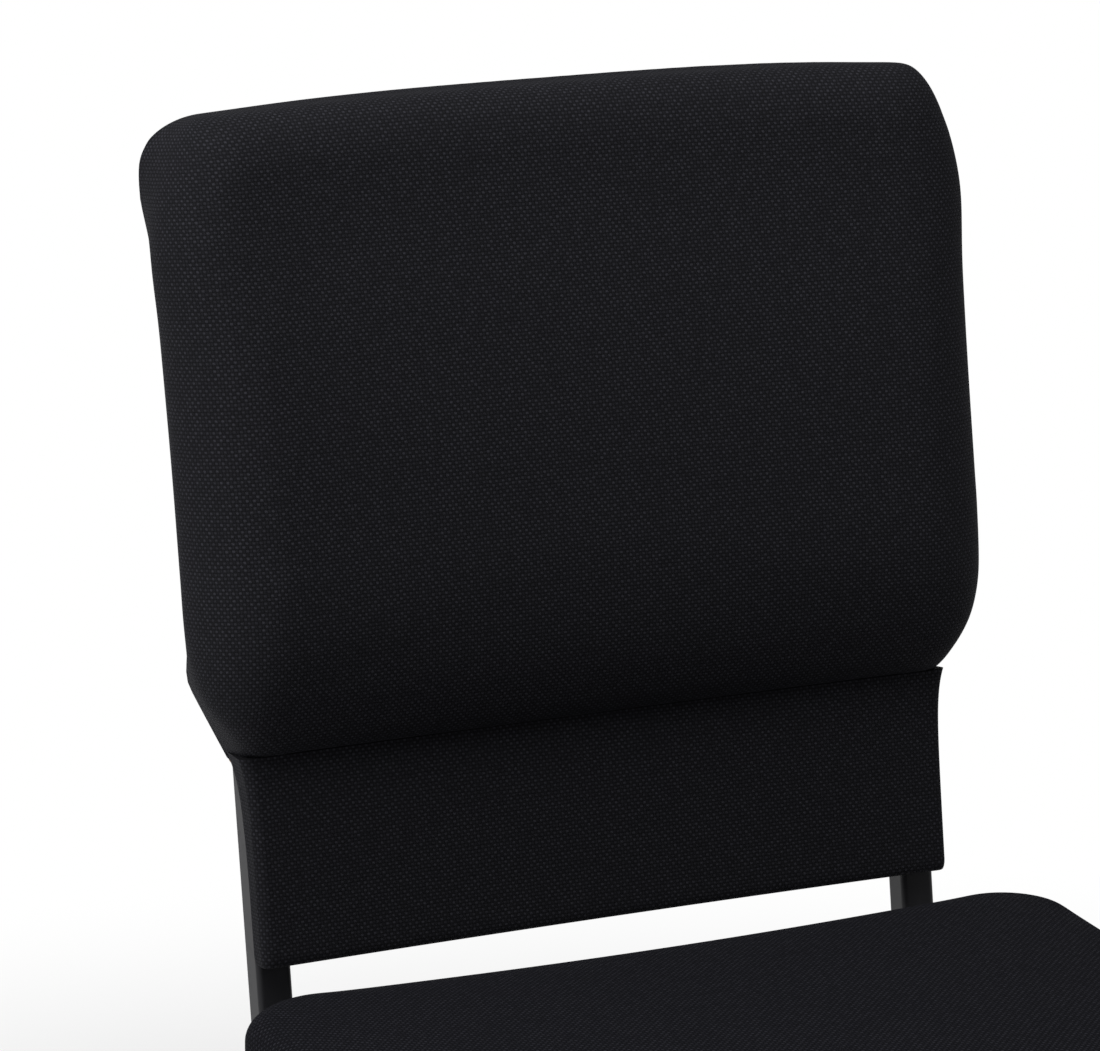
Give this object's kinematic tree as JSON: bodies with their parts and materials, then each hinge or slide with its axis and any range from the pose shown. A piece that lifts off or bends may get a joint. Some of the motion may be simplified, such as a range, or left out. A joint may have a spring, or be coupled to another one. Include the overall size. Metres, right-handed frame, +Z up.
{
  "type": "choir chair",
  "caption": "Armless padded choir chair with a deep contoured upper back, a thin padded lower back panel and a thick seat on a bent square-tube steel frame.",
  "frame": {"origin": "on the floor, under the middle of the chair's width and depth", "axes": "+Z up, the sitter faces -Y, +X towards the right of a person looking at the chair from the front"},
  "size_m": [0.467, 0.6196, 0.8867],
  "materials": {
    "powder_coat": "satin black powder coat, fine texture",
    "upholstery": "coarse plain-weave black upholstery fabric",
    "foam": "open-cell polyurethane foam",
    "plywood": "raw birch plywood",
    "hardboard": "tempered hardboard",
    "dust_cloth": "black spun-bonded dust cloth",
    "zinc_steel": "bright zinc plating",
    "nylon": "black moulded nylon"
  },
  "bodies": {
    "root": {"left_upright": "powder_coat", "right_upright": "powder_coat", "left_front_leg": "powder_coat", "right_front_leg": "powder_coat", "front_cross_rail": "powder_coat", "rear_cross_rail": "powder_coat", "upper_back_brace": "powder_coat", "lower_back_brace": "powder_coat", "seat_cover": "upholstery", "back_cover": "upholstery", "panel_cover": "upholstery", "rear_panel_cover": "upholstery", "seat_foam": "foam", "back_foam": "foam", "panel_pad": "foam", "seat_board": "plywood", "back_board": "plywood", "rear_panel": "hardboard", "seat_dust_cover": "dust_cloth", "seat_screws": "zinc_steel", "seat_tee_nuts": "zinc_steel", "back_screws": "zinc_steel", "back_tee_nuts": "zinc_steel", "front_left_glide": "nylon", "front_right_glide": "nylon", "rear_left_glide": "nylon", "rear_right_glide": "nylon", "stack_bumpers": "nylon", "panel_clips": "nylon"}
  },
  "joints": []
}
